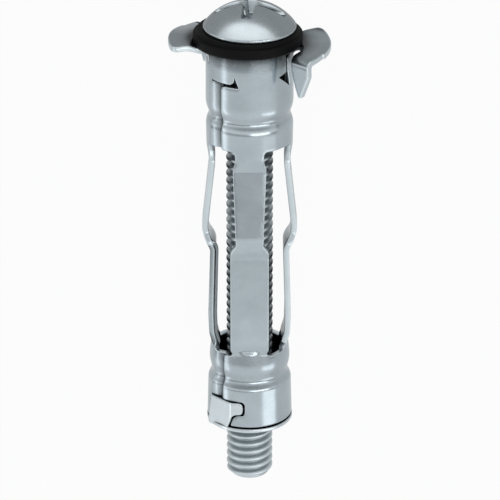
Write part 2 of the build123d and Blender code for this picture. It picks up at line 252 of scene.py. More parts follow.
def insideLoops(points, loops):
    # True where a ray from the point crosses the loops an odd number of times
    inside = np.zeros(len(points), bool)
    x, y = points[:, 0], points[:, 1]
    for loop in loops:
        for (ax, ay), (bx, by) in zip(loop, np.roll(loop, -1, 0)):
            if ay == by:
                continue
            crossing = (ay > y) != (by > y)
            inside ^= crossing & (x < (bx - ax) * (y - ay) / (by - ay) + ax)
    return inside


def triangulated(loops, lattice, clearance):
    # Triangles of the region between the loops, through the lattice points that fit in it
    rimPoints = np.vstack(loops)
    tree = KDTree(len(rimPoints))
    for index, point in enumerate(rimPoints):
        tree.insert((*point, 0), index)
    tree.balance()
    lattice = lattice[insideLoops(lattice, loops)]
    clear = [tree.find((*point, 0))[2] > clearance for point in lattice]
    starts = np.cumsum([0] + [len(loop) for loop in loops]).tolist()
    rings = [list(range(start, end)) for start, end in zip(starts, starts[1:])]
    edges = [edge for ring in rings for edge in zip(ring, ring[1:] + ring[:1])]
    everything = np.vstack([rimPoints, lattice[clear]])
    result = delaunay_2d_cdt([Vector(p) for p in everything], edges, [], 0, 1e-7)
    points = np.array([tuple(p) for p in result[0]])
    triangles = np.array(result[2])
    triangles = triangles[insideLoops(points[triangles].mean(1), loops)]
    newIndex = {origin: index for index, origins in enumerate(result[3]) for origin in origins}
    return points, triangles, [[newIndex[i] for i in ring] for ring in rings]


def facesBetween(upper, lower):
    # Quads that join two closed rings of points
    return [list(quad) for quad in zip(upper, lower, lower[1:] + lower[:1], upper[1:] + upper[:1])]


def surfaceOf(pointsAt, chart):
    # The folded points of a chart, and their outward normals from the points around them
    x, y = chart[:, 0], chart[:, 1]
    step = 0.004
    across = pointsAt(x + step, y) - pointsAt(x - step, y)
    upward = pointsAt(x, y + step) - pointsAt(x, y - step)
    normals = np.cross(across, upward)
    return pointsAt(x, y), normals / np.linalg.norm(normals, axis=1, keepdims=True)


def sheetPiece(name, outlines, lattice, pointsAt, sheet, edge, materials, edgeShare=None):
    # A blank of sheet with blunt edges. The chart is the flat blank; pointsAt folds chart
    # points into the outer surface. edgeShare makes the edge sharper where it is below 1.
    normals = [loopNormals(loop) for loop in outlines]
    shares = [edgeShare(loop) if edgeShare else np.ones(len(loop)) for loop in outlines]
    widths = [share[:, None] * edge["width"] for share in shares]
    insets = [loop - away * width for loop, away, width in zip(outlines, normals, widths)]
    chart, triangles, rims = triangulated(insets, lattice, edge["clearance"])
    surface, facing = surfaceOf(pointsAt, chart)
    points = [surface, surface - facing * sheet]
    count = len(chart)
    faces = triangles.tolist() + (triangles[:, ::-1] + count).tolist()
    slots = [0] * len(faces)
    used = 2 * count
    quarter = [radians(90) * step / edge["steps"] for step in range(1, edge["steps"] + 1)]
    for loop, away, width, share, rim in zip(insets, normals, widths, shares, rims):
        rings = [rim]
        share = share[:, None]
        levels = [(sin(a), (1 - cos(a)) * edge["depth"] * share) for a in quarter]
        levels += [(out, sheet - depth * edge["innerShare"]) for out, depth in reversed(levels)]
        for out, depth in levels:
            ringSurface, ringFacing = surfaceOf(pointsAt, loop + away * width * out)
            points.append(ringSurface - ringFacing * depth)
            rings.append(list(range(used, used + len(loop))))
            used += len(loop)
        rings.append([index + count for index in rim])
        for number, (upper, lower) in enumerate(zip(rings, rings[1:])):
            faces += facesBetween(upper, lower)
            slots += [1 if number else 0] * len(upper)
    return newPiece(name, np.vstack(points), faces, materials, slots)


sleeveShape = {
    "sheet": 0.50,
    "tubeRadius": 3.58,
    # Folds down the tube: depth under the collar, radius there, and half the fold's length
    "folds": {
        "mouth": (0.08, 3.5, 0.1),
        "neck": (1.38, 3.58, 0.05),
        "shoulder": (5.2, 3.6, 0.46),
        "waist": (5.9, 3.28, 0.3),
        "band": (6.67, 3.585, 0.3),
        "root": (8.85, 3.55, 0.3),
        "upperFold": (10.05, 3.32, 0.14),
        "knee": (16.39, 4.00, 0.78),
        "kink": (17.80, 3.27, 0.22),
        "shin": (23.60, 3.445, 0.5),
        "ankle": (25.45, 3.38, 0.28),
        "joggle": (26.35, 3.11, 0.1),
        "heel": (26.72, 3.25, 0.1),
        "tailBand": (28.15, 3.4, 0.5),
        "tailWaist": (29.2, 3.13, 0.34),
        "tailTop": (29.90, 3.48, 0.12),
        "tailEnd": (33.30, 3.57, 0.1),
    },
    # Legs: their width at each depth, from the top of the slots to the bottom
    "legWidths": [(8.38, 2.43), (9.08, 2.43), (10.05, 2.74), (16.55, 2.25), (17.4, 3.17), (26.98, 3.17)],
    # Depths where the legs turn from round to flat and back again
    "flatStart": (8.95, 10.05),
    "flatEnd": (26.30, 26.85),
    "slotCorner": 0.42,
    "seamBearing": -42.5,
    "seamGap": 0.22,
    "flapAngle": 15.5,
    "flapTuck": 0.44,
    "flapBend": 0.42,
    "tabStart": -60.0,
    "tabEnd": -20.6,
    "tabDepth": 2.50,
    "tabSlit": 0.16,
    "seamCornerDepth": 2.76,
    "pocketTopDepth": 1.85,
    "pocketEnd": -14.6,
    "earRadius": 6.62,
    "earFront": -5.0,
    "earBack": 29.0,
    "earCorner": 0.38,
    "leftEarTurn": 172.0,
    "earBend": 0.45,
    "earLance": 4.55,
    "earLanceStart": 1.5,
    "earStepAzimuth": -25.0,
    "earStepHalf": 0.6,
    "earStep": 0.14,
    # A slit frees the back of each ear from the tube: its width and depth
    "earSlit": 0.08,
    "earSlitDepth": 1.25,
    # Degrees by which the ear's root is wider than its blade
    "earRootMargin": 0.65,
    # Chart height above which there is only blade, and bearing past which it is the left one
    "bladeStart": 0.1,
    "leftStart": 150.0,
    # The blades stand up a little: how much, and between which bearings, right and left
    "earRaise": (0.15, 0.40),
    "earRaiseStart": (95.0, 48.0),
    "earRaiseRun": (24.0, 44.0),
    # Distance from the axis where they start to, and the run to their full height
    "earRaiseReach": (4.0, 1.6),
    "toothAzimuth": -45.5,
    "toothBend": 0.25,
    # Tooth: distance from the axis and height of each corner, and its rounding
    "toothOutline": [
        (6.62, -0.75, 0.0), (6.64, -1.40, 0.3), (6.35, -2.10, 0.6), (5.81, -3.32, 0.1),
        (5.55, -3.30, 0.1), (5.19, -2.52, 0.8), (4.82, -1.42, 0.8), (4.70, -0.75, 0.2),
    ],
    # Window: bearing and depth of each corner, and its rounding
    "window": [
        (61.0, 0.75, 0.10), (60.2, 1.75, 0.10), (66.5, 3.25, 0.08),
        (42.0, 2.10, 0.04), (56.5, 1.86, 0.12), (57.4, 0.08, 0.10),
    ],
    "outlineSpacing": 0.12,
    # Grid that fills the blank, and the finer one of the teeth
    "grid": {"spacing": 0.2, "leastGap": 0.07, "top": 2.4, "bendRows": 6},
    "toothGrid": {"low": 0.3, "row": 0.15, "column": 0.17, "length": 4.0, "clear": 0.8},
    "edge": {"width": 0.10, "depth": 0.07, "innerShare": 0.7, "steps": 3, "clearance": 0.08},
}
# The nut's lug is a flat plate: its bearing, its distance from the axis, and its outline as
# places across the plate and depths
lugShape = {
    "bearing": -45.0,
    "distance": 3.50,
    "thickness": 0.42,
    "left": -1.15,
    "footLeft": -1.5,
    "foot": 0.69,
    "right": 1.40,
    "hook": 2.28,
    # The hook bends inwards with the tube: where, by how much, and half the bend's length
    "bendPlace": 1.3,
    "bendAngle": 40.0,
    "bendHalf": 0.2,
    "topDepth": 31.11,
    "hookUnderDepth": 32.2,
    "footDepth": 33.81,
    "corner": 0.36,
    "throatCorner": 0.6,
    "gap": 0.10,
    "hookGap": 0.17,
    "outlineSpacing": 0.12,
    # Grid that fills the plate: from, to and spacing, across it and down it
    "gridAcross": (-1.1, 2.3, 0.1),
    "gridDown": (-33.7, -31.0, 0.2),
}
arcPerDegree = radians(1) * sleeveShape["tubeRadius"]
foldDepths, foldRadii, foldHalves = np.array(list(sleeveShape["folds"].values())).T


def easedRamp(distance, half):
    # 0 before the fold and the distance after it, joined by a smooth bend
    share = np.clip((distance + half) / (2 * half), 0, 1)
    return np.where(distance > half, distance, half * share**2)


def wallProfile(depth):
    # Radius of the tube at a depth: straight runs from fold to fold, with rounded bends
    slopes = np.diff(foldRadii) / np.diff(foldDepths)
    radius = foldRadii[0] + slopes[0] * (depth - foldDepths[0])
    for i, change in enumerate(np.diff(slopes)):
        radius = radius + change * easedRamp(depth - foldDepths[i + 1], foldHalves[i + 1])
    return radius


def toothFoldBearing(distance):
    # Bearing, counted from the ear's own zero, where the ear's blade starts to bend down
    outer = sleeveShape["toothBend"] + sleeveShape["sheet"]
    return 90 + sleeveShape["toothAzimuth"] + np.degrees(np.arcsin(outer / distance))


def blend(share):
    # 0 to 1 with a soft start and end
    share = np.clip(share, 0, 1)
    return share * share * (3 - 2 * share)


earFoldHeight = -sleeveShape["sheet"] - sleeveShape["earBend"]
earFoldArc = sleeveShape["earBend"] * pi / 2
# Distance from the axis = chart height + this, past the fold from tube to ear
earReach = sleeveShape["tubeRadius"] + sleeveShape["earBend"] - earFoldHeight - earFoldArc
toothBendArc = (sleeveShape["toothBend"] + sleeveShape["sheet"] / 2) * pi / 2


def compass(angle):
    # Directions away from the axis and round it, at angles in radians
    outward = np.column_stack([np.cos(angle), np.sin(angle), 0 * angle])
    onward = np.column_stack([-np.sin(angle), np.cos(angle), 0 * angle])
    return outward, onward


def placed(directions, outward, onward, height):
    flat = directions[0] * outward[:, None] + directions[1] * onward[:, None]
    return flat + height[:, None] * np.array([0, 0, 1.0])


def sleevePoints(x, y):
    # Folds chart points (arc, height) of the flat blank into the sleeve's outer surface
    shape = sleeveShape
    bearing = x / arcPerDegree
    radius = wallProfile(-y)
    isLeft = bearing > shape["leftStart"]
    turned = np.where(isLeft, shape["leftEarTurn"], 0)
    place = bearing - turned
    # Within its root an ear's wall doesn't follow the fold at the mouth
    root = (place > 80) & (place < 90 + shape["earBack"] + shape["earRootMargin"])
    radius = np.where(root & (y > -shape["folds"]["neck"][0]), shape["tubeRadius"], radius)
    around = compass(np.radians(bearing - 90))
    points = placed(around, radius, 0 * x, y)
    # Legs: flat from side to side between their upper fold and the joggle
    middle = np.radians(np.round(bearing / 90) * 90)
    aside = shape["tubeRadius"] * np.sin(np.radians(bearing) - middle)
    flatPoints = placed(compass(middle - pi / 2), radius, aside, y)
    (start, full), (fading, end) = shape["flatStart"], shape["flatEnd"]
    flatness = blend((-y - start) / (full - start)) * blend((end + y) / (end - fading))
    points = points + flatness[:, None] * (flatPoints - points)
    # Flap beside the seam: carried straight on from its fold line and inwards
    flapStart = 360 + shape["seamBearing"] - shape["flapAngle"]
    run = (bearing - flapStart) * arcPerDegree
    fullRun = shape["flapAngle"] * arcPerDegree - shape["seamGap"] / 2
    tuck = shape["flapTuck"] + fullRun**2 / (2 * shape["tubeRadius"])
    drop = easedRamp(run, shape["flapBend"]) * tuck / fullRun
    flap = (run > -shape["flapBend"]) & (y < -shape["tabDepth"] - shape["tabSlit"] / 2)
    tucked = placed(compass(np.radians(flapStart - 90 + 0 * x)), radius - drop, run, y)
    points = np.where(flap[:, None], tucked, points)
    # Ears: the wall folded outwards over a quarter turn
    blade = y > shape["bladeStart"]
    ear = (y > earFoldHeight) & (root | blade)
    past = y - earFoldHeight
    turn = np.clip(past / shape["earBend"], 0, pi / 2)
    distance = shape["tubeRadius"] + shape["earBend"] * (1 - np.cos(turn))
    distance = distance + np.maximum(0, past - earFoldArc)
    height = earFoldHeight + shape["earBend"] * np.sin(turn)
    kinds = ("earRaise", "earRaiseStart", "earRaiseRun")
    raised, raiseStart, raiseRun = (np.where(isLeft, shape[kind][1], shape[kind][0]) for kind in kinds)
    reachStart, reachRun = shape["earRaiseReach"]
    raised = raised * blend((place - raiseStart) / raiseRun) * blend((distance - reachStart) / reachRun)
    folded = placed(around, distance, 0 * x, height + raised)
    points = np.where(ear[:, None], folded, points)
    # Teeth: the end of each ear's blade folded straight down
    safe = np.maximum(distance, 1)
    beyond = (toothFoldBearing(safe) - place) * arcPerDegree
    tooth = ear & blade & (beyond > 0)
    bend = np.clip(beyond / toothBendArc * pi / 2, 0, pi / 2)
    outer = shape["toothBend"] + shape["sheet"]
    along = np.sqrt(np.maximum(safe**2 - outer**2, 0))
    offset = outer - shape["toothBend"] * np.sin(bend)
    level = -outer + shape["toothBend"] * np.cos(bend) - np.maximum(0, beyond - toothBendArc)
    hanging = placed(compass(np.radians(shape["toothAzimuth"] + turned)), along, offset, level)
    return np.where(tooth[:, None], hanging, points)


def slotSide(middle, side):
    # Corners of one side of the slot round a bearing, from its top to its bottom
    corners = []
    for depth, width in sleeveShape["legWidths"]:
        legEdge = degrees(asin(width / 2 / sleeveShape["tubeRadius"]))
        corners.append((middle + side * (45 - legEdge), -depth, sleeveShape["slotCorner"]))
    return corners


def earOutline(turn):
    # Corners round an ear, its tooth and its window, from the ear's back to its front
    shape = sleeveShape
    slit = shape["earSlit"] / arcPerDegree
    back = 90 + shape["earBack"]
    mouth = -shape["folds"]["mouth"][0]
    tip = shape["earRadius"] - earReach
    step = 90 + shape["earStepAzimuth"]
    corners = [
        (back + slit, mouth, 0.16),
        (back + slit, -shape["earSlitDepth"], 0.02),
        (back, -shape["earSlitDepth"], 0.02),
        (back, tip, shape["earCorner"]),
        (step + shape["earStepHalf"], tip, 0.2),
        (step - shape["earStepHalf"], tip - shape["earStep"], 0.05),
    ]
    outer = shape["toothBend"] + shape["sheet"]
    for along, level, radius in shape["toothOutline"]:
        distance = sqrt(along**2 + outer**2)
        beyond = toothBendArc - outer - level
        bearing = toothFoldBearing(distance) - beyond / arcPerDegree
        corners.append((bearing, distance - earReach, radius))
    lance = shape["earLance"]
    corners.append((toothFoldBearing(lance) + shape["earLanceStart"], lance - earReach, 0.3))
    corners.append((90 + shape["earFront"], lance - earReach, 0.3))
    corners += [(bearing, -depth, radius) for bearing, depth, radius in shape["window"]]
    return [(bearing + turn, height, radius) for bearing, height, radius in corners]


def lugOutline(grow=0.0, hookGrow=0.0):
    # Corners of the nut's lug, as places across it and heights; grown for its pocket
    left, right = lugShape["left"] - grow, lugShape["right"] + grow
    hook, foot = lugShape["hook"] + hookGrow, lugShape["foot"] + grow
    top, under = grow - lugShape["topDepth"], -grow - lugShape["hookUnderDepth"]
    corner = lugShape["corner"]
    return {
        "footLeft": (lugShape["footLeft"] - grow, -lugShape["footDepth"], 0.2),
        "topLeft": (left, top, 0.12),
        "topRight": (hook, top, corner),
        "hookUnder": (hook, under, corner),
        "throat": (right, under, lugShape["throatCorner"]),
        "foot": (foot, -lugShape["footDepth"], 0.05),
    }


def bentLug(across):
    # Place across the lug and distance from the axis, past the bend of its hook
    run = easedRamp(across - lugShape["bendPlace"], lugShape["bendHalf"])
    angle = radians(lugShape["bendAngle"])
    return across - run * (1 - cos(angle)), lugShape["distance"] - run * sin(angle)


def lugPocket():
    # The lug's outline at its inner face, grown, as bearings and heights on the tail
    corners = {}
    for name, (across, height, radius) in lugOutline(lugShape["gap"], lugShape["hookGap"]).items():
        place, distance = bentLug(across)
        inner = distance - lugShape["thickness"] * (across < lugShape["bendPlace"])
        corners[name] = (lugShape["bearing"] + degrees(atan2(place, inner)), height, radius)
    return corners


def blankOutlines():
    # The flat blank: its outer outline, then the three slots that lie whole inside it
    shape = sleeveShape
    halfGap = shape["seamGap"] / 2 / arcPerDegree
    left = shape["seamBearing"] + halfGap
    right = 360 + shape["seamBearing"] - halfGap
    mouth = -shape["folds"]["mouth"][0]
    foot = -shape["folds"]["tailEnd"][0]
    slitLow = -shape["tabDepth"] - shape["tabSlit"]
    pocket = lugPocket()
    topLeft, throat, pocketFoot = pocket["topLeft"], pocket["throat"], pocket["foot"]
    seamTop = topLeft[1]
    # The pocket's right side, cut off where the sheet ends
    fall = (throat[1] - foot) / (throat[1] - pocketFoot[1])
    footRight = throat[0] + (pocketFoot[0] - throat[0]) * fall
    leftSlot = slotSide(-45, 1)
    rightSlot = slotSide(315, -1)
    outer = [(left, -shape["seamCornerDepth"], 0.4), (left, leftSlot[0][1], 0.2)]
    outer += leftSlot + [(left, leftSlot[-1][1], 0.2)]
    outer += [(left, seamTop, 0.25), pocket["topRight"], pocket["hookUnder"], throat]
    outer += [(footRight, foot, 0.12)]
    outer += [(360 + pocket["footLeft"][0], foot, 0.16), (360 + topLeft[0], topLeft[1], 0.1)]
    outer += [(right, seamTop, 0.16), (right, rightSlot[-1][1], 0.16)]
    outer += rightSlot[::-1] + [(right, rightSlot[0][1], 0.16), (right, slitLow, 0.2)]
    tabStart, tabEnd = 360 + shape["tabStart"], 360 + shape["tabEnd"]
    outer += [(tabStart, slitLow, 0.04), (tabStart, -shape["tabDepth"], 0.04)]
    outer += [(tabEnd, -shape["tabDepth"], 0.45), (tabEnd, mouth, 0.16)]
    outer += earOutline(shape["leftEarTurn"]) + earOutline(0)
    outer += [(shape["tabEnd"], mouth, 0.16), (shape["tabEnd"], -shape["pocketTopDepth"], 0.1)]
    outer += [(shape["pocketEnd"], -shape["seamCornerDepth"], 0.06)]
    holes = [slotSide(middle, 1) + slotSide(middle, -1)[::-1] for middle in (45, 135, 225)]
    loops = []
    for corners in [outer, *holes]:
        onChart = [(bearing * arcPerDegree, height, radius) for bearing, height, radius in corners]
        loops.append(roundedLoop(onChart, shape["outlineSpacing"]))
    return orientedLoops(loops)


def blankLattice():
    # Rows follow the folds, so that each bend is round; columns run down the tube
    shape = sleeveShape
    grid, tooth = shape["grid"], shape["toothGrid"]
    bendShares = np.arange(0, grid["bendRows"] + 1) / grid["bendRows"]
    rows = {round(earFoldHeight + earFoldArc * share, 4) for share in bendShares}
    for share in (-1, -0.5, 0, 0.5, 1):
        rows |= {round(-depth + share * half, 4) for depth, half in zip(foldDepths, foldHalves)}
    heights = []
    for height in sorted(rows) + list(np.arange(-foldDepths[-1], grid["top"], grid["spacing"])):
        if all(abs(height - other) > grid["leastGap"] for other in heights):
            heights.append(height)
    left = shape["seamBearing"] * arcPerDegree + shape["seamGap"] / 2
    right = (360 + shape["tabEnd"]) * arcPerDegree
    flapFold = (360 + shape["seamBearing"] - shape["flapAngle"]) * arcPerDegree
    columns = [c for c in np.arange(left, right, grid["spacing"]) if abs(c - flapFold) > grid["spacing"]]
    columns += [flapFold + shift for shift in (-0.12, -0.06, 0, 0.06, 0.12)]
    lattice = np.array([(x, y) for y in heights for x in columns])
    # The teeth have rows of their own, along their bend
    place = lattice[:, 0] / arcPerDegree
    place = place - np.where(place > shape["leftStart"], shape["leftEarTurn"], 0)
    distance = np.maximum(lattice[:, 1] + earReach, 1)
    onTooth = place < toothFoldBearing(distance) + tooth["clear"]
    onTooth &= lattice[:, 1] > shape["bladeStart"]
    reaches = list(toothBendArc * bendShares)
    reaches += list(np.arange(toothBendArc + tooth["row"], tooth["length"], tooth["column"]))
    extra = []
    for height in np.arange(tooth["low"], grid["top"], tooth["row"]):
        for beyond in reaches:
            for turn in (0, shape["leftEarTurn"]):
                start = toothFoldBearing(height + earReach) + turn
                extra.append((start * arcPerDegree - beyond, height))
    return np.vstack([lattice[~onTooth], np.array(extra)])


def blankEdgeShare(loop):
    # The tab's end meets the sheet beside it in a joint too tight to see, and the slit under
    # the tab is too narrow for two full edges
    shape = sleeveShape
    x, y = loop[:, 0], loop[:, 1]
    tabEnd = shape["tabEnd"] * arcPerDegree
    fromTabEnd = np.mod(x - tabEnd + pi, 360 * arcPerDegree) - pi
    joint = (np.abs(fromTabEnd) < 0.08) & (y > 0.02 - shape["pocketTopDepth"])
    slitStart = (360 + shape["tabStart"]) * arcPerDegree - 0.05
    slitHeight = -shape["tabDepth"] - shape["tabSlit"] / 2
    slit = (x > slitStart) & (np.abs(y - slitHeight) < 0.1)
    return np.where(joint, 0.05, np.where(slit, 0.35, 1.0))


sheet, edge, finishes = sleeveShape["sheet"], sleeveShape["edge"], [zincPlatedSheet, shearedEdge]
blank, lattice = blankOutlines(), blankLattice()
sleeve = sheetPiece("formed-sleeve", blank, lattice, sleevePoints, sheet, edge, finishes, blankEdgeShare)
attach(sleeve, "sleeve")
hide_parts("sleeve")
print("sleeve made,", len(sleeve.data.polygons), "faces")


def turnedPiece(name, section, segments, material, centre=(0, 0)):
    # A closed section of (radius, height) points, counted anticlockwise, turned about the axis
    angles = np.arange(segments) * 2 * pi / segments
    (x, y), count = centre, len(section)
    points = [(x + r * cos(a), y + r * sin(a), height) for a in angles for r, height in section]
    sections = [list(range(i * count, (i + 1) * count)) for i in range(segments)]
    faces = []
    for here, there in zip(sections, sections[1:] + sections[:1]):
        faces += facesBetween(here, there)
    return newPiece(name, np.array(points), faces, [material])


nutShape = {
    "boreRadius": 1.99,
    "bodyRadius": 2.86,
    "bodyTopDepth": 30.32,
    "flangeRadius": 3.61,
    "flangeTopDepth": 33.45,
    "flangeEndDepth": 33.81,
    "edge": 0.12,
    "outlineSpacing": 0.12,
    "segments": 144,
}
bore, body, flange = (nutShape[name] for name in ("boreRadius", "bodyRadius", "flangeRadius"))
bodyTop, flangeTop, flangeEnd = (
    -nutShape[name] for name in ("bodyTopDepth", "flangeTopDepth", "flangeEndDepth")
)
nutSection = [(bore, flangeEnd, 0.1), (flange, flangeEnd, 0.14), (flange, flangeTop, nutShape["edge"])]
nutSection += [(body, flangeTop, 0.1), (body, bodyTop, 0.15), (bore, bodyTop, 0.1)]
nutSection = roundedLoop(nutSection, nutShape["outlineSpacing"])
nutBody = turnedPiece("nut-body", nutSection, nutShape["segments"], zincPlatedNut)


def lugPoints(x, y):
    # Sets the lug's plate at its bearing, with its hook bent
    plate = compass(np.radians(lugShape["bearing"] - 90 + 0 * x))
    across, distance = bentLug(x)
    return placed(plate, distance, across, y)


lugLoop = roundedLoop(list(lugOutline().values()), lugShape["outlineSpacing"])
lugAcross, lugDown = np.arange(*lugShape["gridAcross"]), np.arange(*lugShape["gridDown"])
lugLattice = np.array([(x, y) for x in lugAcross for y in lugDown])
lugLoops, finishes = orientedLoops([lugLoop]), [zincPlatedNut, shearedEdge]
nutLug = sheetPiece("nut-lug", lugLoops, lugLattice, lugPoints, lugShape["thickness"], edge, finishes)
for part in (nutBody, nutLug):
    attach(part, "sleeve")
    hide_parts("nut")
print("nut made")

washerShape = {
    "radius": 4.48,
    "holeRadius": 2.14,
    "thickness": 1.22,
    "step": 0.30,
    "rounding": 0.26,
    # It hangs a little to the left on the screw
    "shift": 0.15,
    "outlineSpacing": 0.1,
    "segments": 180,
}
hole, rim, top = washerShape["holeRadius"], washerShape["radius"], washerShape["thickness"]
stepRadius, stepHeight = rim - washerShape["step"], top - washerShape["step"]
rounding = washerShape["rounding"]
washerSection = [(hole, 0, 0.08), (rim, 0, rounding), (rim, stepHeight, rounding)]
washerSection += [(stepRadius, stepHeight, 0.08), (stepRadius, top, 0.16), (hole, top, 0.08)]
washerSection = roundedLoop(washerSection, washerShape["outlineSpacing"])
washerCentre = (-washerShape["shift"], 0)
washer = turnedPiece("washer-ring", washerSection, washerShape["segments"], blackRubber, washerCentre)
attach(washer, "washer")
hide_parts("washer")
print("washer made")

headShape = {
    "radius": 3.80,
    "seat": 1.22,
    "top": 3.43,
    "crownRadius": 4.68,
    "edgeRadius": 0.2,
    "recessWidth": 5.1,
    "recessWing": 1.00,
    "recessDepth": 1.55,
    "recessDraft": 0.16,
    "recessLead": 0.05,
    "recessEndSlope": 1.6,
    "slotWidth": 0.80,
    "slotDepth": 1.10,
    "slotSlope": 9,
    "driverAngle": -7.0,
    "brow": 0.05,
    "spacing": 0.055,
    "segments": 200,
    # Rings under the rim: radius, and height over the seat
    "underside": [(3.80, 0.10), (3.79, 0.05), (3.75, 0.01), (3.70, 0), (2.6, 0), (1.2, 0)],
}


def headProfile(reach):
    # Radius and height at an arc length from the crown's top: crown, shoulder, rim
    crown, edge = headShape["crownRadius"], headShape["edgeRadius"]
    lean = asin((headShape["radius"] - edge) / (crown - edge))
    crownArc = crown * lean
    edgeArc = edge * (pi / 2 - lean)
    angle = np.minimum(reach / crown, lean)
    more = np.clip((reach - crownArc) / edge, 0, pi / 2 - lean)
    radius = (crown - edge) * np.sin(angle) + edge * np.sin(angle + more)
    centre = headShape["top"] - crown
    height = centre + (crown - edge) * np.cos(angle) + edge * np.cos(angle + more)
    height = height - np.maximum(0, reach - crownArc - edgeArc)
    return radius, height, crownArc + edgeArc


def softMin(a, b, width):
    # The smaller of two heights, with a brow of that width where they meet
    share = np.clip(0.5 + (b - a) / (2 * width), 0, 1)
    return b + (a - b) * share - width * share * (1 - share)


def headHeights(x, y, crown):
    # Sinks the cross recess and the straight slot into the crown
    turn = radians(headShape["driverAngle"])
    along = x * cos(turn) + y * sin(turn)
    across = -x * sin(turn) + y * cos(turn)
    top = headShape["top"]
    slotWall = (np.abs(across) - headShape["slotWidth"] / 2) * headShape["slotSlope"]
    slotFloor = top - headShape["slotDepth"]
    slot = np.maximum(slotFloor, slotFloor + slotWall)
    half, wing = headShape["recessWidth"] / 2, headShape["recessWing"] / 2
    steep = 1 / headShape["recessDraft"]
    wings = []
    for one, other in ((along, across), (across, along)):
        side = (np.abs(one) - wing) * steep
        end = (np.abs(other) - half) * headShape["recessEndSlope"]
        wings.append(np.maximum(side, end))
    cross = np.minimum(*wings)
    recess = np.maximum(top - headShape["recessDepth"], top - headShape["recessLead"] + cross)
    return softMin(crown, np.minimum(slot, recess), headShape["brow"])


def makeHead():
    # A fine grid, square to the recess, carries the crown; rings close the head under its rim
    rimArc = headProfile(np.zeros(1))[2]
    angles = np.arange(headShape["segments"]) * 2 * pi / headShape["segments"]
    loop = np.column_stack([np.cos(angles), np.sin(angles)]) * rimArc
    spacing = headShape["spacing"]
    grid = np.arange(-rimArc, rimArc, spacing)
    turn = radians(headShape["driverAngle"])
    lattice = np.array([(x, y) for x in grid for y in grid])
    lattice = lattice @ np.array([[cos(turn), sin(turn)], [-sin(turn), cos(turn)]])
    chart, triangles, rims = triangulated([loop], lattice, 0.5 * spacing)
    reach = np.hypot(chart[:, 0], chart[:, 1])
    radius, height, _ = headProfile(reach)
    scale = radius / np.maximum(reach, 1e-9)
    x, y = chart[:, 0] * scale, chart[:, 1] * scale
    points = [np.column_stack([x, y, headHeights(x, y, height)])]
    faces = triangles.tolist()
    used = len(chart)
    previous = rims[0]
    for radius, rise in headShape["underside"]:
        level = 0 * angles + headShape["seat"] + rise
        points.append(np.column_stack([radius * np.cos(angles), radius * np.sin(angles), level]))
        ring = list(range(used, used + len(angles)))
        used += len(angles)
        faces += facesBetween(previous, ring)
        previous = ring
    faces.append(previous[::-1])
    return newPiece("screw-head", np.vstack(points), faces, [zincPlatedHead])


head = makeHead()

threadShape = {
    "pitch": 0.7,
    "radius": 1.94,
    "depth": 0.40,
    "tip": -39.11,
    "top": 1.60,
    "chamfer": 0.45,
    "crestShare": 0.22,
    "segments": 72,
    "rowsPerPitch": 12,
}


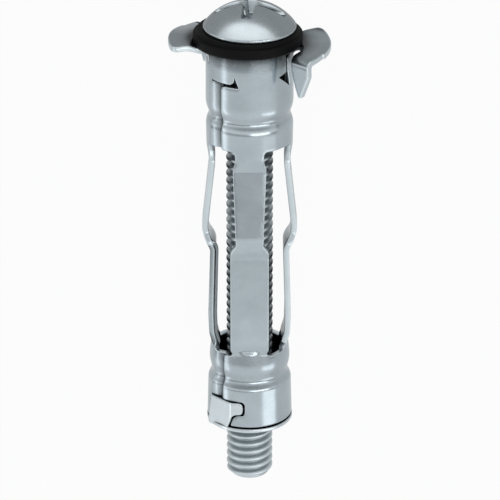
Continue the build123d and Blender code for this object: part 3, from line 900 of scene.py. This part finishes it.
def threadTree():
    # Rolls a grid into the thread: columns run round the axis, rows climb one pitch a turn
    tree = bpy.data.node_groups.new("rolled thread", "GeometryNodeTree")
    lengths = ("pitch", "radius", "depth", "tip", "top", "chamfer", "crestShare")
    sockets = dict.fromkeys(lengths, "NodeSocketFloat")
    sockets |= {"rows": "NodeSocketInt", "segments": "NodeSocketInt", "material": "NodeSocketMaterial"}
    for name, kind in sockets.items():
        tree.interface.new_socket(name, in_out="INPUT", socket_type=kind)
    tree.interface.new_socket("thread", in_out="OUTPUT", socket_type="NodeSocketGeometry")
    given = addNode(tree, "NodeGroupInput").outputs
    position = addNode(tree, "GeometryNodeInputPosition").outputs[0]
    parts = addNode(tree, "ShaderNodeSeparateXYZ", {0: position}).outputs
    # The flank runs from crest to root as a soft wave with a flat crest and a flat root
    ramp = addNode(tree, "ShaderNodeMapRange", {"From Min": given["crestShare"]})
    ramp.interpolation_type = "SMOOTHSTEP"
    values = {name: given[name] for name in sockets}
    values |= {"across": parts["X"], "up": parts["Y"], "ramp": ramp.outputs[0]}
    # Each step: the value it makes, how, and from what
    steps = [
        ("length", "SUBTRACT", "top", "tip"),
        ("span", "MULTIPLY_ADD", "pitch", 2.0, "length"),
        ("columns", "ADD", "segments", 1.0),
        ("angle", "ADD", "across", pi),
        ("row", "MULTIPLY_ADD", "span", 0.5, "up"),
        # A row climbs with the angle, and is held between the tip and the top
        ("turn", "DIVIDE", "angle", 2 * pi),
        ("climbed", "MULTIPLY_ADD", "turn", "pitch", "row"),
        ("overTip", "ADD", "climbed", "tip"),
        ("free", "MULTIPLY_ADD", "pitch", -1.5, "overTip"),
        ("held", "MAXIMUM", "free", "tip"),
        ("height", "MINIMUM", "held", "top"),
        # Place in the thread's own section: -1 and 1 at the roots, 0 at the crest
        ("pitches", "DIVIDE", "row", "pitch"),
        ("share", "FRACT", "pitches"),
        ("centred", "MULTIPLY_ADD", "share", 2.0, -1.0),
        ("flank", "ABSOLUTE", "centred"),
        ("rootStart", "MULTIPLY_ADD", "crestShare", -0.5, 1.0),
        ("sunk", "MULTIPLY", "ramp", "depth"),
        ("rolled", "SUBTRACT", "radius", "sunk"),
        # Chamfers at both ends
        ("fromTip", "SUBTRACT", "height", "tip"),
        ("fromTop", "SUBTRACT", "top", "height"),
        ("nearest", "MINIMUM", "fromTip", "fromTop"),
        ("endRadius", "SUBTRACT", "radius", "chamfer"),
        ("limit", "ADD", "endRadius", "nearest"),
        ("cut", "MINIMUM", "rolled", "limit"),
        # The first and the last row shrink to a point and close the ends
        ("sliver", "MULTIPLY", "pitch", 0.02),
        ("lastStart", "SUBTRACT", "span", "sliver"),
        ("pastFirst", "GREATER_THAN", "row", "sliver"),
        ("beforeLast", "LESS_THAN", "row", "lastStart"),
        ("between", "MULTIPLY", "pastFirst", "beforeLast"),
        ("reach", "MULTIPLY", "cut", "between"),
        ("cosine", "COSINE", "angle"),
        ("sine", "SINE", "angle"),
        ("x", "MULTIPLY", "reach", "cosine"),
        ("y", "MULTIPLY", "reach", "sine"),
    ]
    for name, operation, *sources in steps:
        inputs = {i: values.get(source, source) for i, source in enumerate(sources)}
        values[name] = addNode(tree, "ShaderNodeMath", inputs, operation=operation).outputs[0]
    tree.links.new(values["flank"], ramp.inputs["Value"])
    tree.links.new(values["rootStart"], ramp.inputs["From Max"])
    sizes = {"Size X": 2 * pi, "Size Y": values["span"]}
    counts = {"Vertices X": values["columns"], "Vertices Y": given["rows"]}
    geometry = addNode(tree, "GeometryNodeMeshGrid", sizes | counts).outputs["Mesh"]
    spot = {"X": values["x"], "Y": values["y"], "Z": values["height"]}
    place = addNode(tree, "ShaderNodeCombineXYZ", spot).outputs[0]
    finishing = [
        ("GeometryNodeSetPosition", {"Position": place}),
        ("GeometryNodeMergeByDistance", {"Distance": 0.0005}),
        ("GeometryNodeRealizeInstances", {}),
        ("GeometryNodeSetMaterial", {"Material": given["material"]}),
    ]
    for kind, inputs in finishing:
        geometry = addNode(tree, kind, {"Geometry": geometry} | inputs).outputs[0]
    addNode(tree, "NodeGroupOutput", {0: geometry})
    return tree


def makeThread():
    # The tree's result is kept as a plain mesh, laid down like the other pieces
    tree = threadTree()
    # One pitch more at either end, where the rows run past the tip and the top
    span = threadShape["top"] - threadShape["tip"] + 2 * threadShape["pitch"]
    rows = round(span / threadShape["pitch"] * threadShape["rowsPerPitch"]) + 1
    values = threadShape | {"rows": rows, "material": zincPlatedThread}
    holder = bpy.data.objects.new("thread source", bpy.data.meshes.new("thread source"))
    bpy.context.collection.objects.link(holder)
    modifier = holder.modifiers.new("rolled thread", "NODES")
    modifier.node_group = tree
    for item in tree.interface.items_tree:
        if item.in_out == "INPUT":
            modifier[item.identifier] = values[item.name]
    bpy.context.view_layer.update()
    evaluated = holder.evaluated_get(bpy.context.evaluated_depsgraph_get())
    mesh = bpy.data.meshes.new_from_object(evaluated)
    holder.modifiers.remove(modifier)
    points = np.array([tuple(v.co) for v in mesh.vertices])
    faces = [list(p.vertices) for p in mesh.polygons]
    bpy.data.objects.remove(holder)
    return newPiece("screw-thread", points, faces, [zincPlatedThread])


shank = makeThread()
for part in (head, shank):
    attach(part, "screw")
    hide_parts("screw")
print("screw made,", len(shank.data.polygons) + len(head.data.polygons), "faces")

stageLook = {
    "floorColour": "#F4F5F6",
    "floorGlow": 0.95,
    "worldColour": "#B9BEC2",
    "worldStrength": 0.55,
    # Room as the metal shows it: height of the direction, -1 at the tail and 1 at the head,
    # and how white it is there
    "room": [
        (-1.0, 1.0), (-0.33, 1.0), (-0.25, 0.42), (-0.12, 0.36), (-0.04, 1.15), (0.14, 1.15),
        (0.26, 0.8), (0.36, 0.42), (0.62, 0.42), (0.8, 0.8), (0.92, 1.05), (1.0, 0.95),
    ],
    # Floor as the metal shows it: how white it is beside the anchor and beyond its head, and
    # where it changes, in mm past the collar
    "floorInMetal": (0.82, 0.4),
    "floorChange": (-1.0, 1.5),
    "floorReach": 1.5,
}


def alongAnchor(tree, vector):
    # How far a vector reaches towards the head
    inputs = {0: vector, 1: tuple(towardsHead)}
    return addNode(tree, "ShaderNodeVectorMath", inputs, operation="DOT_PRODUCT").outputs["Value"]


def seenByEye(tree):
    # 1 for rays from the camera, and for those that metal and glass send on
    path = addNode(tree, "ShaderNodeLightPath").outputs
    seen = path["Is Camera Ray"]
    for other in ("Is Glossy Ray", "Is Transmission Ray"):
        seen = addNode(tree, "ShaderNodeMath", {0: seen, 1: path[other]}, operation="MAXIMUM").outputs[0]
    return seen, path["Is Camera Ray"]


def makeFloor():
    # A plain pale floor that shows white, with most of its shade taken out
    material, tree, space = newMaterial("painted board, matt white")
    seen, fromCamera = seenByEye(tree)
    glowing = {0: seen, 1: stageLook["floorGlow"]}
    share = addNode(tree, "ShaderNodeMath", glowing, operation="MULTIPLY").outputs[0]
    paint = addNode(tree, "ShaderNodeBsdfDiffuse", {"Color": hexColour(stageLook["floorColour"])})
    collar = towardsHead.dot(collarCentre) * 1000
    start, end = (collar + past for past in stageLook["floorChange"])
    beside, beyond = stageLook["floorInMetal"]
    change = {"Value": alongAnchor(tree, space), "From Min": start, "From Max": end}
    change |= {"To Min": beside, "To Max": beyond}
    inMetal = addNode(tree, "ShaderNodeMapRange", change).outputs[0]
    strengths = {"Factor": fromCamera, "A": inMetal, "B": 1.0}
    strength = addNode(tree, "ShaderNodeMix", strengths, data_type="FLOAT").outputs[0]
    glow = addNode(tree, "ShaderNodeEmission", {"Color": (1, 1, 1, 1), "Strength": strength})
    mixed = addNode(tree, "ShaderNodeMixShader", {0: share, 1: paint.outputs[0], 2: glow.outputs[0]})
    addNode(tree, "ShaderNodeOutputMaterial", {"Surface": mixed.outputs[0]})
    mesh = bpy.data.meshes.new("floor")
    reach = stageLook["floorReach"]
    corners = [(-reach, -reach, 0), (reach, -reach, 0), (reach, reach, 0), (-reach, reach, 0)]
    mesh.from_pydata(corners, [], [(0, 1, 2, 3)])
    mesh.materials.append(material)
    floor = bpy.data.objects.new("floor", mesh)
    bpy.context.collection.objects.link(floor)


def makeRoom():
    # White to the eye. In reflections it is white at both ends and in the middle, with darker
    # bands between, which set the tilted faces apart
    world = bpy.data.worlds.new("studio")
    bpy.context.scene.world = world
    world.use_nodes = True
    tree = world.node_tree
    tree.nodes.clear()
    even = {"Color": hexColour(stageLook["worldColour"]), "Strength": stageLook["worldStrength"]}
    light = addNode(tree, "ShaderNodeBackground", even)
    space = addNode(tree, "ShaderNodeTexCoord").outputs["Object"]
    heights = {"Value": alongAnchor(tree, space), "From Min": -1.0, "From Max": 1.0}
    share = addNode(tree, "ShaderNodeMapRange", heights)
    ramp = addNode(tree, "ShaderNodeValToRGB", {"Fac": share.outputs[0]})
    stops = ramp.color_ramp.elements
    while len(stops) < len(stageLook["room"]):
        stops.new(1.0)
    for stop, (height, grey) in zip(stops, stageLook["room"]):
        stop.position = (height + 1) / 2
        stop.color = (grey, grey, grey, 1)
    seen, fromCamera = seenByEye(tree)
    colours = {"Factor": fromCamera, "A": ramp.outputs["Color"], "B": (1, 1, 1, 1)}
    colour = addNode(tree, "ShaderNodeMix", colours, data_type="RGBA").outputs["Result"]
    shown = addNode(tree, "ShaderNodeBackground", {"Color": colour, "Strength": 1.0})
    mixed = addNode(tree, "ShaderNodeMixShader", {0: seen, 1: light.outputs[0], 2: shown.outputs[0]})
    addNode(tree, "ShaderNodeOutputWorld", {"Surface": mixed.outputs[0]})


makeFloor()
makeRoom()

# Lamps, placed in the anchor's own upright space: where, size in mm, power in watts
lamps = {
    "soft box over the head": ((0, -160, 330), (1400, 420), 0.95),
    "strip in front, to the right": ((141, -265, -30), (280, 36), 0.13),
    "strip on the left": ((-272, -99, -90), (60, 260), 0.05),
    "soft box, low on the right": ((95, -66, -84), (80, 28), 0.0075),
}
lampTarget = (0, 0, -15)


def aimed(place, target):
    # A matrix at a place in the shared frame, looking at a target, with the anchor's head up
    place, target = (Vector(laidDown([p])[0]) for p in (place, target))
    back = (place - target).normalized()
    side = towardsHead.cross(back).normalized()
    up = back.cross(side)
    return Matrix.Translation(place) @ Matrix((side, up, back)).transposed().to_4x4()


for name, (place, (width, height), power) in lamps.items():
    light = bpy.data.lights.new(name, "AREA")
    light.shape = "RECTANGLE"
    light.size, light.size_y = width * 0.001, height * 0.001
    light.energy = power
    lamp = bpy.data.objects.new(name, light)
    lamp.matrix_world = aimed(place, lampTarget)
    bpy.context.collection.objects.link(lamp)

# Camera: distance and target height in mm, elevation over the cross-section in degrees
cameraShape = {"distance": 297.0, "elevation": 24.0, "targetHeight": -18.5}
cameraShape |= {"lens": 256.6, "sensor": 36, "shift": 0.0008, "clip": (0.02, 10)}
lift, away = radians(cameraShape["elevation"]), cameraShape["distance"]
targetHeight = cameraShape["targetHeight"]
eye = (0, -away * cos(lift), targetHeight + away * sin(lift))
cameraData = bpy.data.cameras.new("camera")
cameraData.sensor_width = cameraShape["sensor"]
cameraData.lens = cameraShape["lens"]
cameraData.shift_x = cameraShape["shift"]
cameraData.clip_start, cameraData.clip_end = cameraShape["clip"]
camera = bpy.data.objects.new("camera", cameraData)
camera.matrix_world = aimed(eye, (0, 0, targetHeight))
bpy.context.collection.objects.link(camera)
bpy.context.scene.camera = camera
bpy.context.scene.view_settings.view_transform = "Standard"
print("stage, lamps and camera made")
